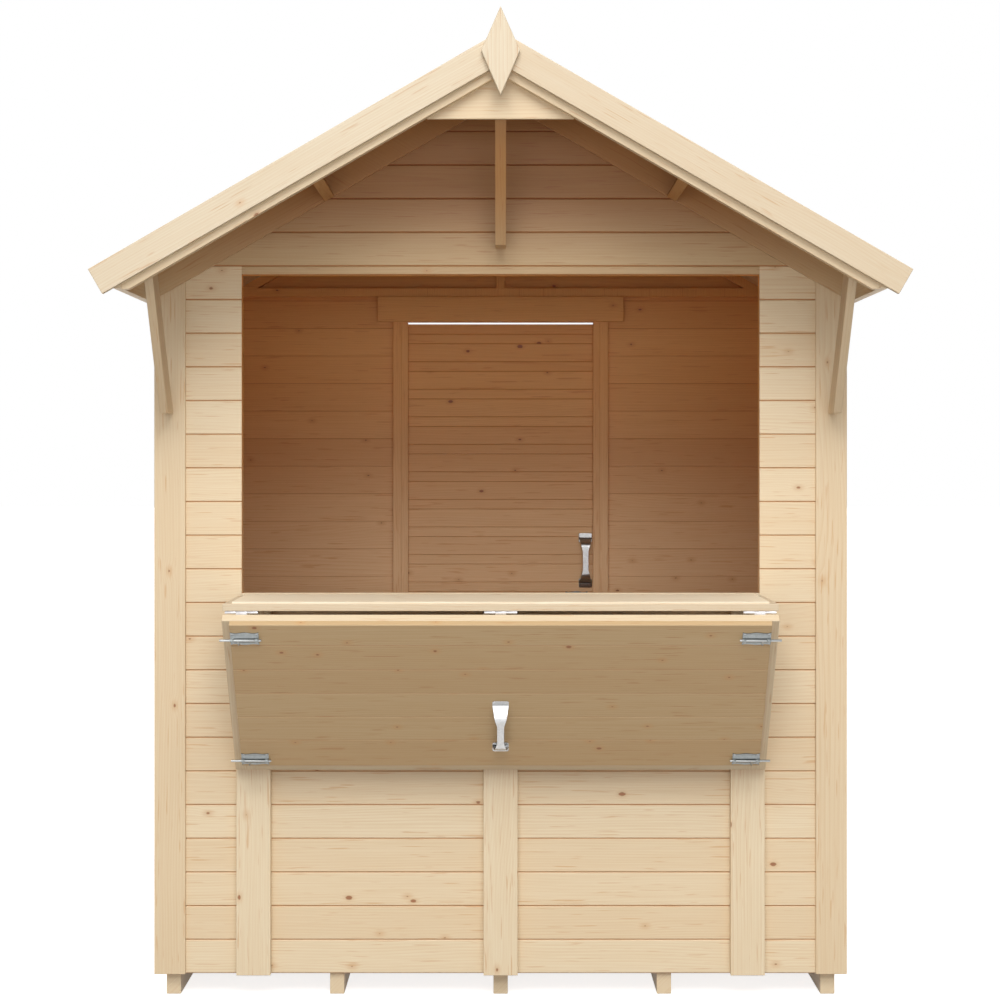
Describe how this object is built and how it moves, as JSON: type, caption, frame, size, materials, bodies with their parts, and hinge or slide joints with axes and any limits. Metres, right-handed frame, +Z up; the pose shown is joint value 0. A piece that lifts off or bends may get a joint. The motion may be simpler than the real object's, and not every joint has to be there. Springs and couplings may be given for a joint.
{
  "type": "wooden market stall",
  "caption": "Pine market stall with a gabled canopy roof, a fold-down serving counter with a hinged flap, and a boarded back door.",
  "frame": {"origin": "centre of the outer plan box, on the ground under the floor joists", "axes": "+X to the customer's right, +Y from the serving front to the door at the back, +Z up"},
  "size_m": [2.0292, 1.922, 2.5275],
  "materials": {
    "pine": "planed, unpainted",
    "felt": "mineral faced",
    "steel": "bright zinc"
  },
  "bodies": {
    "stall": {"front_wall_left": "pine", "front_wall_right": "pine", "front_wall_below_counter": "pine", "front_gable": "pine", "left_wall": "pine", "right_wall": "pine", "back_wall_left": "pine", "back_wall_right": "pine", "back_gable": "pine", "serving_sill": "pine", "front_frame": "pine", "back_frame": "pine", "side_frame_left": "pine", "side_frame_right": "pine", "corner_trims": "pine", "rake_trims": "pine", "counter_posts": "pine", "roof_left": "pine", "roof_right": "pine", "purlins": "pine", "front_rafter_left": "pine", "front_rafter_right": "pine", "apex_gusset": "pine", "barge_front_left": "pine", "barge_front_right": "pine", "barge_back_left": "pine", "barge_back_right": "pine", "fascias": "pine", "finial": "pine", "braces": "pine", "gable_strut": "pine", "door_lining": "pine", "door_header": "pine", "door_architrave": "pine", "floor_joists": "pine", "floor_deck": "pine", "roof_felt": "felt", "door_hinge_plates": "steel", "sill_hinges_wall_side": "steel"},
    "door": {"door_boards": "pine", "door_trims": "pine", "door_hinge_straps": "steel", "door_pull_handle": "steel", "door_bolt_plate": "steel"},
    "door_bolt": {"door_bolt_rod": "steel"},
    "counter": {"counter_frame": "pine", "counter_boards": "pine", "flap_hinges_counter_side": "steel", "sill_hinges_counter_side": "steel"},
    "flap": {"flap_frame": "pine", "flap_boards": "pine", "hatch_bolt_plates": "steel", "flap_pull_handle": "steel", "flap_hinges_flap_side": "steel"},
    "bolt_upper_left": {"bolt_rod_upper_left": "steel"},
    "bolt_upper_right": {"bolt_rod_upper_right": "steel"},
    "bolt_lower_left": {"bolt_rod_lower_left": "steel"},
    "bolt_lower_right": {"bolt_rod_lower_right": "steel"}
  },
  "joints": [
    {"name": "door_hinge", "type": "hinge", "parent": "stall", "child": "door", "pos_m": [-0.3035, 0.9, 0.98], "axis": [0, 0, 1], "range_deg": [0, 105]},
    {"name": "door_bolt_slide", "type": "slide", "parent": "door", "child": "door_bolt", "axis": [1, 0, 0], "range_m": [0, 0.024]},
    {"name": "counter_hinge", "type": "hinge", "parent": "stall", "child": "counter", "pos_m": [0, -0.519, 1.053], "axis": [-1, 0, 0], "range_deg": [0, 90]},
    {"name": "flap_hinge", "type": "hinge", "parent": "counter", "child": "flap", "pos_m": [0, -0.8542, 1.0345], "axis": [-1, 0, 0], "range_deg": [0, 127.3]},
    {"name": "bolt_upper_left_slide", "type": "slide", "parent": "flap", "child": "bolt_upper_left", "axis": [1, 0, 0], "range_m": [0, 0.024]},
    {"name": "bolt_upper_right_slide", "type": "slide", "parent": "flap", "child": "bolt_upper_right", "axis": [-1, 0, 0], "range_m": [0, 0.024]},
    {"name": "bolt_lower_left_slide", "type": "slide", "parent": "flap", "child": "bolt_lower_left", "axis": [1, 0, 0], "range_m": [0, 0.024]},
    {"name": "bolt_lower_right_slide", "type": "slide", "parent": "flap", "child": "bolt_lower_right", "axis": [-1, 0, 0], "range_m": [0, 0.024]}
  ]
}
